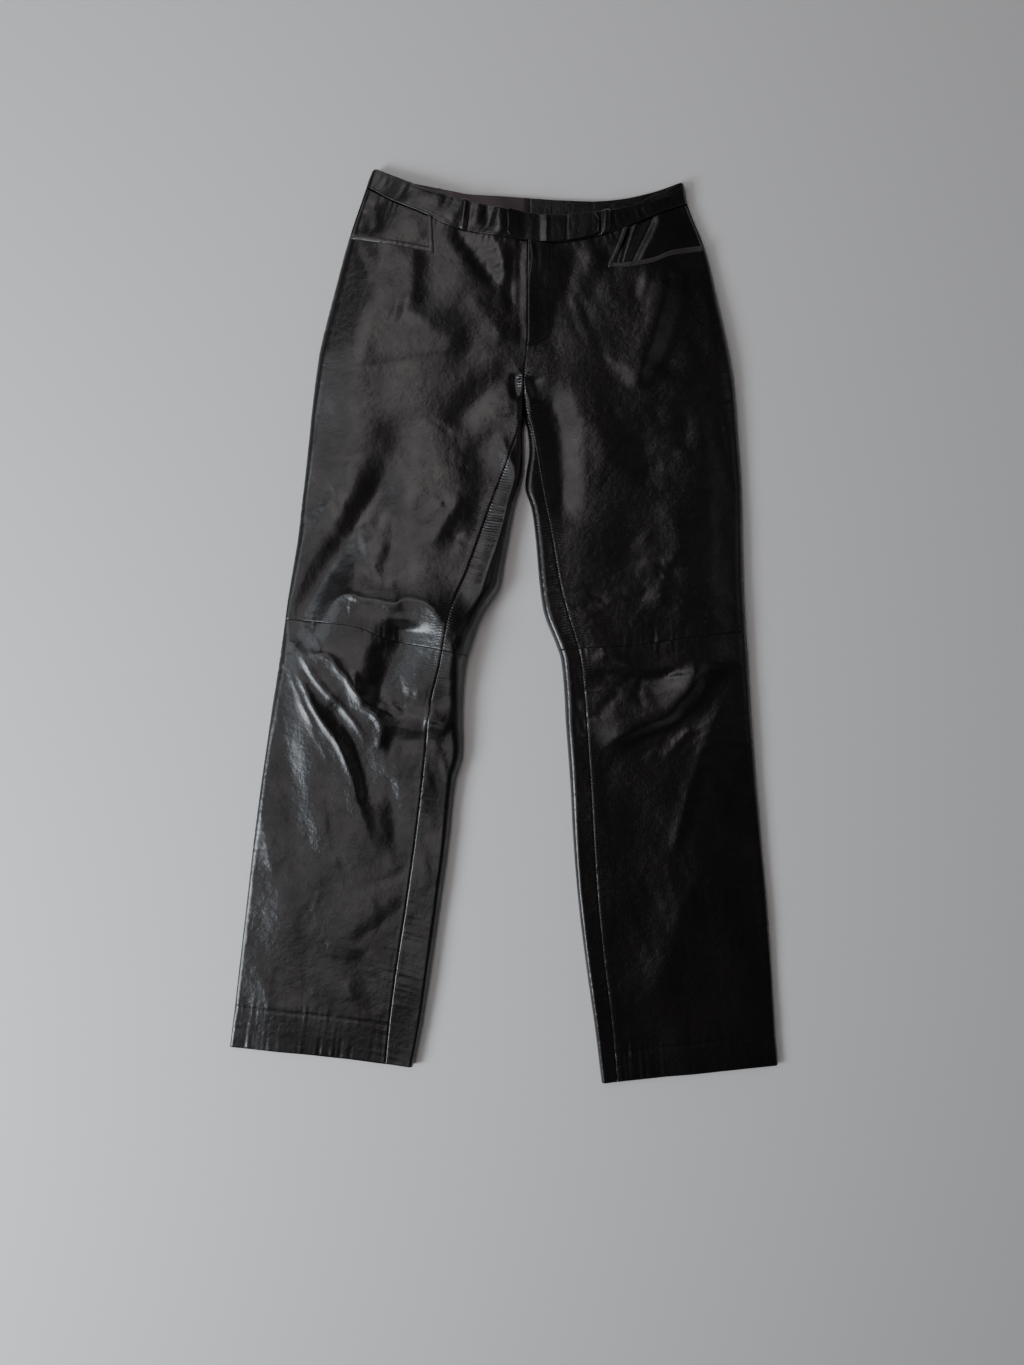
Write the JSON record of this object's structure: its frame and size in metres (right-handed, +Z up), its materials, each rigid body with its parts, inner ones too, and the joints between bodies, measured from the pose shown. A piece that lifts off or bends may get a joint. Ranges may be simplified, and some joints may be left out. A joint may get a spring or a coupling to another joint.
{
  "type": "leather trousers laid flat",
  "caption": "Straight-leg leather trousers with knee seams, waistband, closing tab and curved front pockets, laid flat on the back with the front up.",
  "frame": {"origin": "middle of the flat underside, at the surface that the trousers lie on", "axes": "+Y from the hems to the waist, +X to the viewer's right across the front (the wearer's left), +Z up out of the front"},
  "size_m": [0.6321, 1.0545, 0.0332],
  "materials": {
    "leather": "smooth black nappa, soft gloss",
    "leather_trim": "smooth black nappa, stiffened and topstitched"
  },
  "bodies": {
    "root": {"front_thigh_r": "leather", "front_thigh_l": "leather", "front_shin_r": "leather", "front_shin_l": "leather", "back_thigh_r": "leather", "back_thigh_l": "leather", "back_shin_r": "leather", "back_shin_l": "leather", "pocket_facing_r": "leather", "pocket_facing_l": "leather", "pocket_edge_r": "leather_trim", "pocket_edge_l": "leather_trim", "fly_placket": "leather", "waistband_r": "leather_trim", "waistband_l": "leather_trim", "waist_tab": "leather_trim", "belt_loop_front_r": "leather_trim", "belt_loop_front_l": "leather_trim", "belt_loop_back_r": "leather_trim", "belt_loop_back_centre": "leather_trim", "belt_loop_back_l": "leather_trim"}
  },
  "joints": []
}
